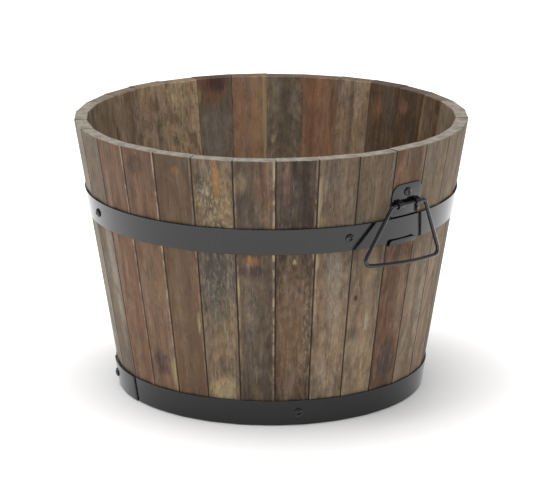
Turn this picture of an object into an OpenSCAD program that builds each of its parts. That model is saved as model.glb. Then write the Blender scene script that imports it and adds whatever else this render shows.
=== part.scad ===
// Barrel planter: a tapered tub of flat staves, held by two painted hoops, with a board base
// in a groove and a swinging wire handle on each side.
// All sizes are in millimetres. The origin is the centre of the foot, on the floor.
// +Z is up, and +X runs out through the middle of the front handle.

/* [Tub] */
// Height of the tub
tub_h = 350; // [320:1:400]
// Outer diameter at the rim, over the stave corners
top_d = 500; // [440:1:560]
// Outer diameter at the foot, over the stave corners
bottom_d = 388; // [350:1:440]
// Number of staves, an even number
stave_count = 30; // [26:2:32]
// Thickness of a stave
stave_t = 16; // [14:0.5:22]
// Gap in each joint between two staves
joint_gap = 0.3; // [0.1:0.1:0.8]
// Chamfer along a stave's outer long edges
edge_ease = 0.8; // [0.3:0.1:1.5]
// Chamfer round the rim, inside and outside
rim_ease = 1; // [0.5:0.1:2]
// How far the lowest stave end stands below the rim
rim_wobble = 1; // [0:0.1:2]

/* [Hoops] */
// Width of a hoop's band
hoop_w = 33; // [25:1:40]
// Thickness of a hoop's band
hoop_t = 1.5; // [1:0.1:3]
// Depth of the middle hoop's upper edge below the rim
middle_hoop_drop = 88; // [85:1:135]
// Height of the lower hoop's lower edge
lower_hoop_z = 1; // [1:0.5:10]
// Space between a hoop and the stave corners
hoop_clear = 0.1; // [0.05:0.05:0.5]
// Length over which the two ends of a hoop overlap
lap_len = 90; // [50:1:120]
// Distance from the hidden end of a lap to the screw through it
lap_screw = 17; // [12:1:30]
// Screws round each hoop
hoop_screws = 4; // [3:1:6]
// Direction of the middle hoop's first screw, from the front handle
middle_screw_angle = -19.5; // [-25:0.5:-15]
// Direction of the lower hoop's first screw
lower_screw_angle = -33.5; // [-45:0.5:-20]

/* [Screws] */
// Diameter of a screw's shank
screw_d = 4; // [3:0.5:5]
// Length of a screw under its head
screw_l = 13; // [8:0.5:14]
// Diameter of a screw's head
head_d = 11; // [8:0.5:13]
// Height of a screw's head
head_h = 3.2; // [2:0.1:4]
// Space round a screw in its pilot hole
pilot_clear = 0.1; // [0.05:0.05:0.3]
// Space round a screw where it passes through metal
hole_clear = 0.3; // [0.1:0.1:0.6]

/* [Base] */
// Height of the base's underside
base_z = 30; // [26:1:60]
// Thickness of the base boards
base_t = 12; // [10:0.5:18]
// Number of base boards, an odd number
base_boards = 5; // [3:2:7]
// Thickness of the boards' bevelled edge, which sits in the groove
base_edge_t = 8; // [5:0.5:9]
// Width of that bevel
base_bevel = 14; // [8:1:25]
// Depth of the groove in the staves
groove_depth = 5; // [3:0.5:7]
// Space left between the base's edge and the bottom of its groove
groove_play = 0.4; // [0.2:0.1:1]
// Gap between two base boards
board_gap = 0.6; // [0.2:0.1:3]
// Diameter of a drain hole
drain_d = 14; // [8:1:20]
// Distance of the outer drain holes from the middle, along the boards
drain_x = 110; // [95:1:125]
// Width of a batten
batten_w = 40; // [30:1:50]
// Thickness of a batten
batten_t = 15; // [10:1:20]
// Distance of a batten from the middle
batten_x = 60; // [45:1:65]
// Space between a batten's end and the staves
batten_clear = 2; // [1:0.5:5]
// Depth to which a batten screw bites into its board
batten_bite = 8; // [5:0.5:9]

/* [Brackets] */
// Depth of the hinge below the rim, at the stave's face
hinge_drop = 70; // [60:1:74]
// Thickness of the bracket's sheet
bracket_t = 1.6; // [1.2:0.1:2.5]
// Width of the bracket's plate
plate_w = 51; // [40:1:60]
// Height of the plate's top above the hinge
plate_top = 25; // [22:0.5:40]
// Radius of the plate's top corners
plate_r = 12; // [4:0.5:18]
// Height of the bracket's screw above the hinge
plate_screw = 14.5; // [13:0.5:18]
// Distance of a knuckle from the bracket's middle
knuckle_y = 15; // [12:0.5:17]
// Width of a knuckle
knuckle_w = 9; // [5:0.5:10]
// Space between the plate and the wire in front of it
bar_gap = 1.9; // [1.9:0.1:4]
// Space round the wire in its knuckles
pin_clear = 0.25; // [0.1:0.05:0.5]
// Width of the leaf behind the hoop and of its hook
leaf_w = 46; // [30:1:47]
// Space between the leaf and the wood round it
leaf_clear = 0.1; // [0.05:0.05:0.3]
// Space above the hoop, before the sheet steps in behind it
joggle_clear = 0.9; // [0.5:0.1:2]
// Height over which the sheet steps in
joggle_h = 4; // [3:0.5:5]
// Space between the hook and the hoop
hook_clear = 0.35; // [0.2:0.05:1]
// Height of the hook's lip above the hoop's lower edge
lip_h = 5.5; // [3:0.5:10]
// Radius of the lip's corners
lip_r = 4.5; // [1:0.5:6]

/* [Wire handles] */
// Diameter of the wire
wire_d = 5; // [4:0.5:6]
// Width of the handle at the hinge, between the corners of the wire's middle line
bail_top_w = 57; // [56:1:66]
// Width of the handle at the bottom, between the same corners
bail_bottom_w = 136; // [100:1:150]
// Drop from the hinge to the bottom bar
bail_drop = 72; // [55:1:75]
// Bend radius of the wire's middle line at the top corners
bail_top_r = 6; // [4:0.5:7]
// Bend radius at the bottom corners
bail_bottom_r = 8; // [5:0.5:14]
// How far the bottom bar bows out, to follow the tub's round
bail_bow = 7.5; // [3:0.5:10]
// How far the hand-bent handle is out of square, in degrees
bail_skew = 4; // [0:0.5:5]
// How far the hanging handle leans towards the tub, in degrees
bail_lean = 5; // [0:0.5:8]
// Gap between the wire's two ends, which meet inside a knuckle
wire_gap = 0.4; // [0.2:0.1:1]

/* [Hidden] */
half_step = 180 / stave_count;
corner_taper = (top_d - bottom_d) / 2 / tub_h;
corner_tilt = atan(corner_taper);
face_taper = corner_taper * cos(half_step);
face_tilt = atan(face_taper);
stave_span = stave_t / cos(face_tilt);
hoop_span = hoop_t / cos(corner_tilt);
middle_hoop_z = tub_h - middle_hoop_drop - hoop_w;
hinge_z = tub_h - hinge_drop;
hinge_off = bracket_t + bar_gap + wire_d / 2;
knuckle_r = wire_d / 2 + pin_clear + bracket_t;
groove_r = inner_at(base_z) + groove_depth;
base_r = groove_r - groove_play;
board_w = 2 * base_r / base_boards;
batten_reach = inner_at(base_z - batten_t) - batten_clear;
batten_l = 2 * sqrt(pow(batten_reach, 2) - pow(batten_x + batten_w / 2, 2));
batten_screw_l = batten_t + batten_bite;
hook_gap = corner_at(middle_hoop_z) * (1 - cos(half_step)) + hoop_clear + hoop_span + hook_clear;
leaf_back = -leaf_clear - bracket_t;
hook_foot = on_face_z(middle_hoop_z) - hook_clear;
joggle_low = on_face_z(middle_hoop_z + hoop_w) + joggle_clear;
joggle_high = joggle_low + joggle_h;
outer_layer = 1 + hoop_clear / hoop_span;
middle_lap_at = 1;
lower_lap_at = min(3, hoop_screws - 1);
handle_angles = [0, 180];
wire_sides = 20;
bend_step = 9;
wire_step = 0.02;
far = 2 * (top_d + tub_h);
$fn = 64;

stave_names = [for (i = [1:stave_count]) str("stave_", i < 10 ? "0" : "", i)];
board_names = [for (j = [1:base_boards]) str("base_board_", j)];

// Wood tones of the staves, from the front handle round by the left
pale = "#b9a48c";
taupe = "#a08c78";
grey = "#877a6c";
brown = "#7d5f49";
russet = "#8a5a40";
walnut = "#5f4a3a";
honey = "#b38b5c";
stave_tones = [
    russet, pale, taupe, grey, brown, taupe, walnut, brown, walnut, grey,
    russet, grey, honey, walnut, pale, taupe, grey, brown, taupe, walnut,
    pale, grey, russet, brown, brown, pale, grey, walnut, taupe, pale
];
base_tone = "#8d7257";
paint = "#2b2b2c";

// Radius over the stave corners at height z
function corner_at(z) = bottom_d / 2 + corner_taper * z;
// Distance of a stave's outer face from the tub's axis at height z
function face_at(z) = corner_at(z) * cos(half_step);
// Distance of a stave's inner face from the axis at height z
function inner_at(z) = face_at(z) - stave_span;
// Radius of a hoop's outer surface at height z, over a number of layers
function hoop_at(z, layers = 1) = corner_at(z) + hoop_clear + layers * hoop_span;
// A height on the stave's face, measured along the face from the hinge
function on_face_z(z) = (z - hinge_z) / cos(face_tilt);
// Height of one stave's end: the saw leaves them slightly uneven
function stave_top(i) = tub_h - rim_wobble * abs(sin(137 * (i % (stave_count / 2))));
// Difference between two directions, from 0 to 180 degrees
function turn_between(a, b) = acos(cos(a - b));
// Direction of one screw of a hoop
function screw_angle(first, k) = first + 360 * k / hoop_screws;
// Middle of one base board, across the boards
function board_y(j) = (j - (base_boards - 1) / 2) * board_w;
// Place of a batten screw on a board: outer boards are held near the batten's end
function batten_screw_y(j) = sign(board_y(j)) * min(abs(board_y(j)), batten_l / 2 - batten_w / 2);
function unit(v) = v / norm(v);

// Moves its children from the stave face's own frame: x out of the face, z up along it
module on_face(angle)
    rotate([0, 0, angle]) translate([face_at(hinge_z), 0, hinge_z]) rotate([0, face_tilt, 0]) children();

// Moves its children so that z points out of a hoop, from its surface or from a lift above it
module on_hoop(angle, z, lift = 0)
    rotate([0, 0, angle]) translate([hoop_at(z), 0, z]) rotate([0, 90 + corner_tilt, 0])
        translate([0, 0, lift]) children();

// One pan-head screw, its seat at z = 0 and its shank below
module pan_screw() {
    dome = 0.6 * head_h;
    dome_r = (pow(head_d / 2, 2) + pow(dome, 2)) / (2 * dome);
    tip = screw_d;
    intersection() {
        cylinder(h = head_h, d = head_d);
        translate([0, 0, head_h - dome_r]) sphere(r = dome_r, $fn = 96);
    }
    translate([0, 0, tip - screw_l]) cylinder(h = screw_l - tip, d = screw_d);
    translate([0, 0, -screw_l]) cylinder(h = tip, d1 = screw_d / 4, d2 = screw_d);
}

// The hole that a screw of length l needs below its seat
module pilot(l = screw_l) {
    translate([0, 0, -l - pilot_clear]) cylinder(h = l + 2 * head_h, r = screw_d / 2 + pilot_clear);
}

// Pilot holes of one hoop's screws that fall on or near the stave at this angle
module hoop_pilots(stave_angle, z, first) {
    for (k = [0:hoop_screws - 1])
        if (turn_between(screw_angle(first, k), stave_angle) < 2 * half_step)
            on_hoop(screw_angle(first, k), z + hoop_w / 2) pilot(screw_l + pilot_clear);
}

// Shallow housing in a stave for the bracket's leaf, and the bracket screw's pilot hole
module bracket_cuts(angle) {
    foot = hook_foot - bracket_t - hook_clear;
    depth = bracket_t + 2 * leaf_clear;
    width = leaf_w + 6 * leaf_clear;
    on_face(angle) {
        translate([-depth, -width / 2, foot]) cube([2 * depth, width, joggle_high + leaf_clear - foot]);
        translate([bracket_t, 0, plate_screw]) rotate([0, 90, 0]) pilot();
    }
}

// One stave: a slab leaning out with the taper, cut to a wedge between its two joint planes
module stave(i) {
    angle = 360 * i / stave_count;
    top = stave_top(i);
    tip = joint_gap / 2 / sin(half_step);
    color(stave_tones[i % len(stave_tones)])
    difference() {
        rotate([0, 0, angle]) difference() {
            intersection() {
                linear_extrude(height = top)
                    polygon([
                        [tip, 0], [tip + far, -far * tan(half_step)], [tip + far, far * tan(half_step)]
                    ]);
                translate([face_at(0), 0, 0]) rotate([0, face_tilt, 0])
                    translate([-stave_t, -far / 2, -far / 2]) cube([stave_t, far, far]);
            }
            for (side = [-1, 1]) long_edge_cut(side);
            translate([face_at(top), 0, top]) rotate([0, 45, 0]) ease_cut(rim_ease);
            translate([inner_at(top), 0, top]) rotate([0, -45, 0]) ease_cut(rim_ease);
        }
        translate([0, 0, base_z]) cylinder(h = base_edge_t + groove_play, r = groove_r, $fn = 180);
        hoop_pilots(angle, middle_hoop_z, middle_screw_angle);
        hoop_pilots(angle, lower_hoop_z, lower_screw_angle);
        for (a = handle_angles) if (turn_between(a, angle) < 3 * half_step) bracket_cuts(a);
    }
}

// Everything beyond a plane that takes a chamfer of this width off the edge at z = 0
module ease_cut(ease)
    translate([-far / 2, -far / 2, -ease * sin(45)]) cube([far, far, far]);

// The chamfer along one outer long edge, which leans with the stave corners
module long_edge_cut(side)
    rotate([0, 0, side * half_step]) translate([corner_at(0), 0, 0]) rotate([0, corner_tilt, 0])
        rotate([0, 0, side * (45 - half_step / 2)])
            translate([-edge_ease * sin(45), -stave_t / 2, -stave_t])
                cube([stave_t, stave_t, tub_h + 3 * stave_t]);

// A stretch of hoop band from one direction to another, between two layers of the strip's
// thickness, and reaching past the band's edges by a spare height
module band(z, from, to, inner, outer, spare = 0) {
    low = z - spare;
    high = z + hoop_w + spare;
    rotate([0, 0, from]) rotate_extrude(angle = to - from, $fn = 180)
        polygon([
            [hoop_at(low, inner), low], [hoop_at(low, outer), low],
            [hoop_at(high, outer), high], [hoop_at(high, inner), high]
        ]);
}

// One hoop: a strip bent round the tub, stepped out over its own start and lapped
module hoop(z, first, lap_at) {
    mm_angle = 180 / (PI * hoop_at(z));
    step_end = screw_angle(first, lap_at) - lap_screw * mm_angle;
    step_start = step_end - 2 * hoop_t * mm_angle;
    tail = step_end + lap_len * mm_angle;
    color(paint)
    difference() {
        band(z, 0, 360, 0, 1 + outer_layer);
        band(z, tail, step_start + 360, 1, 2 + outer_layer, hoop_w);
        band(z, step_end, tail + hoop_t * mm_angle, 2 - outer_layer, outer_layer, hoop_w);
        band(z, step_end, step_end + hoop_t * mm_angle, -1, (1 + outer_layer) / 2, hoop_w);
        for (k = [0:hoop_screws - 1])
            on_hoop(screw_angle(first, k), z + hoop_w / 2)
                cylinder(h = 8 * hoop_t, r = screw_d / 2 + hole_clear, center = true);
    }
}

// The screws of one hoop; the one through the lap sits a layer further out
module hoop_screw_set(z, first, lap_at) {
    color(paint)
    for (k = [0:hoop_screws - 1])
        on_hoop(screw_angle(first, k), z + hoop_w / 2, k == lap_at ? outer_layer * hoop_t : 0) pan_screw();
}

// One base board: a strip of a round head with a bevelled edge, drilled for drainage
module base_board(j) {
    inner = j > 0 && j < base_boards - 1;
    drain_xs = (j - (base_boards - 1) / 2) % 2 == 0 ? [0] : [-drain_x, drain_x];
    color(base_tone)
    difference() {
        intersection() {
            translate([0, 0, base_z]) rotate_extrude($fn = 180)
                polygon([
                    [0, 0], [base_r, 0], [base_r, base_edge_t], [base_r - groove_depth, base_edge_t],
                    [base_r - groove_depth - base_bevel, base_t], [0, base_t]
                ]);
            translate([-far / 2, board_y(j) - (board_w - board_gap) / 2, 0])
                cube([far, board_w - board_gap, far]);
        }
        if (inner)
            for (x = drain_xs)
                translate([x, board_y(j), base_z - base_t]) cylinder(h = 3 * base_t, d = drain_d);
        for (side = [-1, 1])
            translate([side * batten_x, batten_screw_y(j), base_z - batten_t])
                cylinder(h = batten_screw_l + pilot_clear, r = screw_d / 2 + pilot_clear);
    }
}

// One batten across the underside of the boards, countersunk for its screws
module batten(side) {
    color(base_tone)
    difference() {
        translate([side * batten_x - batten_w / 2, -batten_l / 2, base_z - batten_t])
            cube([batten_w, batten_l, batten_t]);
        for (j = [0:base_boards - 1])
            translate([side * batten_x, batten_screw_y(j), base_z - batten_t]) {
                cylinder(h = 3 * batten_t, r = screw_d / 2 + hole_clear, center = true);
                countersink(hole_clear);
            }
    }
}

// The cone of a countersunk head, its face at z = 0, with some space round it
module countersink(space)
    translate([0, 0, -space])
        cylinder(h = screw_d / 2 + space, r1 = screw_d + 2 * space, r2 = screw_d / 2 + space);

// The countersunk screws that hold the boards to both battens
module batten_screw_set() {
    color(paint)
    for (side = [-1, 1], j = [0:base_boards - 1])
        translate([side * batten_x, batten_screw_y(j), base_z - batten_t]) {
            cylinder(h = screw_d / 2, r1 = screw_d, r2 = screw_d / 2);
            cylinder(h = batten_screw_l - screw_d, d = screw_d);
            translate([0, 0, batten_screw_l - screw_d]) cylinder(h = screw_d, d1 = screw_d, d2 = screw_d / 4);
        }
}

// A rounded rectangle's upper outline: width w, from z = low to z = high, in the face's plane
module tab_outline(w, low, high, r, depth)
    rotate([90, 0, 90]) linear_extrude(height = depth) {
        translate([-w / 2, low]) square([w, high - low - r]);
        translate([-w / 2 + r, low]) square([w - 2 * r, high - low]);
        for (side = [-1, 1]) translate([side * (w / 2 - r), high - r]) circle(r = r);
    }

// The strip that steps in behind the hoop and runs down to the hook, seen from the side
module leaf_section()
    polygon([
        [0, joggle_high], [bracket_t, joggle_high], [-leaf_clear, joggle_low],
        [-leaf_clear, hook_foot], [leaf_back, hook_foot], [leaf_back, joggle_low]
    ]);

// The hook round the hoop's lower edge, seen from the side: width w, height h, rounded below
module hook_section(w, h)
    difference() {
        union() {
            translate([0, bracket_t]) square([w, h - bracket_t]);
            translate([bracket_t, 0]) square([w - 2 * bracket_t, h]);
            for (x = [bracket_t, w - bracket_t]) translate([x, bracket_t]) circle(r = bracket_t);
        }
        translate([bracket_t, bracket_t]) square([w - 2 * bracket_t, h]);
    }

// A side section made into a strip of width w, centred on the bracket's middle
module strip(w) rotate([90, 0, 0]) linear_extrude(height = w, center = true) children();

// One bracket: plate on the stave, leaf behind the hoop with its hook, and two rolled knuckles
module bracket(angle) {
    foot = hook_foot - bracket_t;
    lip_top = on_face_z(middle_hoop_z) + lip_h;
    hook_depth = hook_gap + bracket_t - leaf_back;
    color(paint)
    on_face(angle) difference() {
        union() {
            tab_outline(plate_w, joggle_high, plate_top, plate_r, bracket_t);
            strip(leaf_w) leaf_section();
            translate([leaf_back, 0, 0]) intersection() {
                translate([0, 0, foot]) strip(leaf_w) hook_section(hook_depth, lip_top - foot);
                tab_outline(leaf_w, foot, lip_top, lip_r, hook_depth);
            }
            for (side = [-1, 1]) knuckle(side * knuckle_y);
        }
        translate([hinge_off, 0, 0]) rotate([90, 0, 0])
            cylinder(h = plate_w, r = wire_d / 2 + pin_clear, center = true);
        translate([0, 0, plate_screw]) rotate([0, 90, 0])
            cylinder(h = 4 * bracket_t, r = screw_d / 2 + hole_clear, center = true);
    }
}

// One knuckle: a strip from the plate, rolled round the wire
module knuckle(y)
    translate([0, y, 0]) {
        translate([hinge_off, 0, 0]) rotate([90, 0, 0]) cylinder(h = knuckle_w, r = knuckle_r, center = true);
        translate([0, -knuckle_w / 2, knuckle_r - bracket_t]) cube([hinge_off, knuckle_w, bracket_t]);
    }

// Stations [place, heading] along a wire with corners at the points, bent to the given radii
function wire_stations(points, radii) =
    let (
        last = len(points) - 1,
        heading = [for (i = [0:last - 1]) unit(points[i + 1] - points[i])]
    )
    concat(
        [[points[0], heading[0]]],
        [for (i = [1:last - 1])
            let (
                u = heading[i - 1],
                turn = acos(u * heading[i]),
                inward = unit(heading[i] - u * (u * heading[i])),
                start = points[i] - u * radii[i] * tan(turn / 2),
                steps = ceil(turn / bend_step)
            )
            for (k = [0:steps])
                let (t = turn * k / steps)
                [start + radii[i] * (u * sin(t) + inward * (1 - cos(t))), u * cos(t) + inward * sin(t)]],
        [[points[last], heading[last - 1]]]
    );

// Directions across the wire at each station, each carried on from the one before without twist
function carried(stations, side, k = 0) =
    k == len(stations) ? [] :
    let (s = unit(side - stations[k][1] * (side * stations[k][1])))
    concat([s], carried(stations, s, k + 1));

// A round wire swept along its stations
module swept_wire(stations, r) {
    across = carried(stations, [1, 0, 0]);
    last = len(stations) - 1;
    polyhedron(
        points = [for (k = [0:last], j = [0:wire_sides - 1])
            let (a = 360 * j / wire_sides)
            stations[k][0] + r * (across[k] * cos(a) + cross(stations[k][1], across[k]) * sin(a))],
        faces = concat(
            [[for (j = [0:wire_sides - 1]) j]],
            [for (k = [0:last - 1], j = [0:wire_sides - 1], half = [0, 1])
                let (
                    a = k * wire_sides + j,
                    b = k * wire_sides + (j + 1) % wire_sides
                )
                half == 0 ? [a, b + wire_sides, b] : [a, a + wire_sides, b + wire_sides]],
            [[for (j = [wire_sides - 1:-1:0]) last * wire_sides + j]]
        )
    );
}

// A point of the handle turned in its own plane by the skew
function skewed(p) = [
    p[0],
    p[1] * cos(bail_skew) + p[2] * sin(bail_skew),
    p[2] * cos(bail_skew) - p[1] * sin(bail_skew)
];

// One wire handle, hanging: y across, z up, x out of the tub, from the middle of its hinge
module bail(angle) {
    top = [0, bail_top_w / 2, 0];
    far_top = [0, -bail_top_w / 2, 0];
    corner = skewed([0, bail_bottom_w / 2, -bail_drop]);
    far_corner = skewed([0, -bail_bottom_w / 2, -bail_drop]);
    apex = skewed([2 * bail_bow, 0, -bail_drop]);
    bow_half = acos(unit(apex - corner) * unit(far_corner - apex)) / 2;
    corner_turn = acos(unit(corner - top) * unit(apex - corner));
    bow_run = norm(apex - corner) - bail_bottom_r * tan(corner_turn / 2) - wire_d / 2;
    bar_end = bail_top_w / 2 - bail_top_r;
    color(paint)
    on_face(angle) translate([hinge_off, 0, 0]) rotate([0, bail_lean - face_tilt, 0]) {
        rotate([-90, 0, 0]) {
            translate([0, 0, knuckle_y + wire_gap / 2])
                cylinder(h = bar_end - knuckle_y - wire_gap / 2, d = wire_d);
            translate([0, 0, -bar_end]) cylinder(h = bar_end + knuckle_y - wire_gap / 2, d = wire_d);
        }
        swept_wire(
            wire_stations(
                [
                    [0, bar_end - wire_d / 2, 0], top, corner, apex,
                    far_corner, far_top, [0, wire_d / 2 - bar_end, 0]
                ],
                [0, bail_top_r, bail_bottom_r, bow_run / tan(bow_half), bail_bottom_r, bail_top_r, 0]
            ),
            wire_d / 2 - wire_step
        );
    }
}

for (i = [0:stave_count - 1])
    stave(i);
hoop(middle_hoop_z, middle_screw_angle, middle_lap_at);  // middle_hoop
hoop(lower_hoop_z, lower_screw_angle, lower_lap_at);  // lower_hoop
hoop_screw_set(middle_hoop_z, middle_screw_angle, middle_lap_at);  // middle_hoop_screws
hoop_screw_set(lower_hoop_z, lower_screw_angle, lower_lap_at);  // lower_hoop_screws
for (j = [0:base_boards - 1])
    base_board(j);
batten(1);  // front_batten
batten(-1);  // rear_batten
batten_screw_set();  // batten_screws
bracket(0);  // front_bracket
bracket(180);  // rear_bracket
for (a = handle_angles)  // bracket_screws
        color(paint) on_face(a) translate([bracket_t, 0, plate_screw]) rotate([0, 90, 0]) pan_screw();
bail(0);  // front_bail
bail(180);  // rear_bail
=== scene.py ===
# %% [markdown]
# # A wooden barrel planter in a studio
#
# The object is a round tub of thirty flat staves, held by two painted steel hoops, with a board
# base let into a groove and a wire handle on each side. The construction model gives every
# piece its size and place. This lesson dresses it: old wood, glossy black paint, the small
# metalwork that the plain model leaves simple, and the light of a product picture.

# %% The frame: load the construction model
import math

import bmesh
import bpy
from mathutils import Matrix, Vector


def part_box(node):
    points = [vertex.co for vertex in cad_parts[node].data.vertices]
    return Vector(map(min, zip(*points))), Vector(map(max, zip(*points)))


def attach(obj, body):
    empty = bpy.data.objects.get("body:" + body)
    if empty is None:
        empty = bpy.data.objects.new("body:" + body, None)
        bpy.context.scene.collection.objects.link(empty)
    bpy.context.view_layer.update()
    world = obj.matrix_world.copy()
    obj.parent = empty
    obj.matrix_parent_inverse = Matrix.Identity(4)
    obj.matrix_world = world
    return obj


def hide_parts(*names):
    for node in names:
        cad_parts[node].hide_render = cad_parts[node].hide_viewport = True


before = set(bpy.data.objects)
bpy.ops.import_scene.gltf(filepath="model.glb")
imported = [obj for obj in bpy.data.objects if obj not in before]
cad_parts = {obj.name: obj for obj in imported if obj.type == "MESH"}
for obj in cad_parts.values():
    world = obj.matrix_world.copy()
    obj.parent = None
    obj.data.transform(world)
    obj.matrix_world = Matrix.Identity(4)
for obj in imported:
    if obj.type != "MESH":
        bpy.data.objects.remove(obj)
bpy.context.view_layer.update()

# %% [markdown]
# ## The camera
#
# The picture was taken from about three and a half metres with a long lens, from above the rim,
# so the tub's far wall shows inside. A long lens keeps the sides nearly parallel, which is why
# product pictures look calm. The camera is set by the real distances, so that the focal length
# alone decides how large the tub is in the frame.

# %% Camera
CAMERA_DISTANCE = 3.42
CAMERA_HEIGHT = 1.131
CAMERA_TURN = math.radians(46.7)
CAMERA_TILT = math.radians(15.52)
FRAME_WIDTH = 540
FOCAL_PIXELS = 2764.3
TUB_RIGHT_OF_MIDDLE = 1.12

lens = bpy.data.cameras.new("camera")
lens.sensor_width = 36.0
lens.lens = lens.sensor_width * FOCAL_PIXELS / FRAME_WIDTH
lens.shift_x = -TUB_RIGHT_OF_MIDDLE / FRAME_WIDTH
camera = bpy.data.objects.new("camera", lens)
camera.location = (
    math.sin(CAMERA_TURN) * CAMERA_DISTANCE,
    -math.cos(CAMERA_TURN) * CAMERA_DISTANCE,
    CAMERA_HEIGHT,
)
camera.rotation_euler = (math.radians(90) - CAMERA_TILT, 0, CAMERA_TURN)
bpy.context.scene.collection.objects.link(camera)
bpy.context.scene.camera = camera
bpy.context.scene.view_settings.view_transform = "Standard"
print("lens, millimetres:", round(lens.lens, 1))

# %% [markdown]
# ## Short words for shader nodes
#
# A finish is a small program of nodes. Wiring them by hand in Python is long-winded, so this
# helper gives each kind of node one short call that takes numbers or other nodes' outputs and
# returns its own output. Every finish below is written with it.


# %% Recipe: one material or node group
def hue(text):
    """A colour written as a web colour, turned into the linear numbers that shaders use."""
    parts = [int(text[i : i + 2], 16) / 255 for i in (1, 3, 5)]
    return [p / 12.92 if p <= 0.04045 else ((p + 0.055) / 1.055) ** 2.4 for p in parts] + [1.0]


class Recipe:
    """Adds nodes to one tree and wires them."""

    def __init__(self, tree):
        self.tree = tree

    def node(self, kind, feeds, **settings):
        made = self.tree.nodes.new(kind)
        for name, value in settings.items():
            setattr(made, name, value)
        for place, value in feeds.items():
            if isinstance(value, bpy.types.NodeSocket):
                self.tree.links.new(value, made.inputs[place])
            else:
                made.inputs[place].default_value = value
        return made

    def maths(self, operation, a, b=0.0):
        return self.node("ShaderNodeMath", {0: a, 1: b}, operation=operation).outputs[0]

    def times(self, a, b):
        return self.maths("MULTIPLY", a, b)

    def plus(self, a, b):
        return self.maths("ADD", a, b)

    def minus(self, a, b):
        return self.maths("SUBTRACT", a, b)

    def reach(self, a, b):
        """How far the point (a, b) lies from the middle."""
        return self.maths("SQRT", self.plus(self.times(a, a), self.times(b, b)))

    def swing(self, noise, size):
        """A noise made into a shift that goes either way."""
        return self.times(self.minus(noise, 0.5), size)

    def vector(self, operation, a, b):
        return self.node("ShaderNodeVectorMath", {0: a, 1: b}, operation=operation).outputs[0]

    def parts(self, vector):
        made = self.node("ShaderNodeSeparateXYZ", {0: vector})
        return made.outputs[0], made.outputs[1], made.outputs[2]

    def point(self, x, y, z):
        return self.node("ShaderNodeCombineXYZ", {0: x, 1: y, 2: z}).outputs[0]

    def place(self):
        """The place in the object, which stays put when the object or the camera moves."""
        return self.node("ShaderNodeTexCoord", {}).outputs["Object"]

    def spread(self, value, low, high, out_low=0.0, out_high=1.0):
        """Goes smoothly from one level to the other while the value goes from low to high."""
        feeds = {0: value, 1: low, 2: high, 3: out_low, 4: out_high}
        return self.node("ShaderNodeMapRange", feeds, interpolation_type="SMOOTHSTEP").outputs[0]

    def noise(self, place, scale, detail=2.0, roughness=0.5, warp=0.0):
        feeds = {"Vector": place, "Scale": scale, "Detail": detail, "Roughness": roughness}
        feeds["Distortion"] = warp
        return self.node("ShaderNodeTexNoise", feeds).outputs["Fac"]

    def grain(self, place, counts, detail=2.0, roughness=0.5, warp=0.0):
        """Noise with its own fineness along each axis; a low count draws it out into streaks."""
        return self.noise(self.vector("MULTIPLY", place, counts), 1.0, detail, roughness, warp)

    def mix(self, share, a, b, how="MIX"):
        made = self.node("ShaderNodeMix", {0: share, 6: a, 7: b}, data_type="RGBA", blend_type=how)
        return made.outputs[2]

    def tint(self, colour, factors):
        return self.mix(1.0, colour, (*factors, 1), "MULTIPLY")

    def surface(self, feeds):
        """The material's one shader, wired to its output."""
        skin = self.node("ShaderNodeBsdfPrincipled", feeds)
        self.node("ShaderNodeOutputMaterial", {"Surface": skin.outputs[0]})


print("half grey in linear numbers:", [round(c, 3) for c in hue("#808080")])

# %% [markdown]
# ## Old wood
#
# The staves are sawn from reclaimed boards, so each has its own tone. Within a stave the colour
# runs in streaks along the grain, with blotches of weather, small knots, pores, and a paler
# arris: partly fresh wood where the plane has taken the grey skin off, partly a painted highlight
# where the chamfer would catch the light. A picture of wood wrapped round the tub would slide over
# the corners, so the pattern here is solid: it is worked out from the place in the board, and the
# sawn end at the rim shows the same piece of wood as the face below it.

# %% Sizes that the wood pattern follows
STAVES = 30
HALF_STEP = math.pi / STAVES
TUB_HEIGHT = 0.350
FOOT_CORNER = 0.194
RIM_CORNER = 0.250
STAVE_THICK = 0.016
CORNER_TAPER = (RIM_CORNER - FOOT_CORNER) / TUB_HEIGHT
FACE_FOOT = FOOT_CORNER * math.cos(HALF_STEP)
FACE_TAPER = CORNER_TAPER * math.cos(HALF_STEP)
half_widths = [round(1000 * r * math.sin(HALF_STEP), 1) for r in (FOOT_CORNER, RIM_CORNER)]
print("half width of a stave, foot and rim, mm:", half_widths)

# %% A small factory for node groups
SOCKETS = {"v": "NodeSocketVector", "f": "NodeSocketFloat", "c": "NodeSocketColor"}


def group(name, takes, gives):
    """An empty node group with these sockets; returns its recipe and the sockets it takes."""
    tree = bpy.data.node_groups.new(name, "ShaderNodeTree")
    for text, way in ((takes, "INPUT"), (gives, "OUTPUT")):
        for word in text.split():
            title, kind = word.split(":")
            tree.interface.new_socket(title, in_out=way, socket_type=SOCKETS[kind])
    r = Recipe(tree)
    return r, r.node("NodeGroupInput", {}).outputs


print("letters for a group's sockets:", sorted(SOCKETS))

# %% Growth rings, and the streaks and blotches over them
RINGS_PER_METRE = 240.0
PALER = (1.5, 1.48, 1.44)
DARKER = (0.52, 0.5, 0.5)


def growth_rings(r, given, sway, medium):
    """The dark late wood of the rings round the pith, which leans away along the board."""
    off = r.vector("SUBTRACT", r.vector("ADD", given["Place"], r.point(sway, sway, 0.0)), given["Pith"])
    x, y, z = r.parts(off)
    lean = r.parts(given["Pith"])[2]
    depth = r.plus(x, r.times(r.plus(z, lean), lean))
    ring = r.maths("FRACT", r.plus(r.times(r.reach(depth, y), RINGS_PER_METRE), r.swing(medium, 0.9)))
    return r.times(r.spread(ring, 0.2, 0.9), r.spread(ring, 1.0, 0.93))


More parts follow.
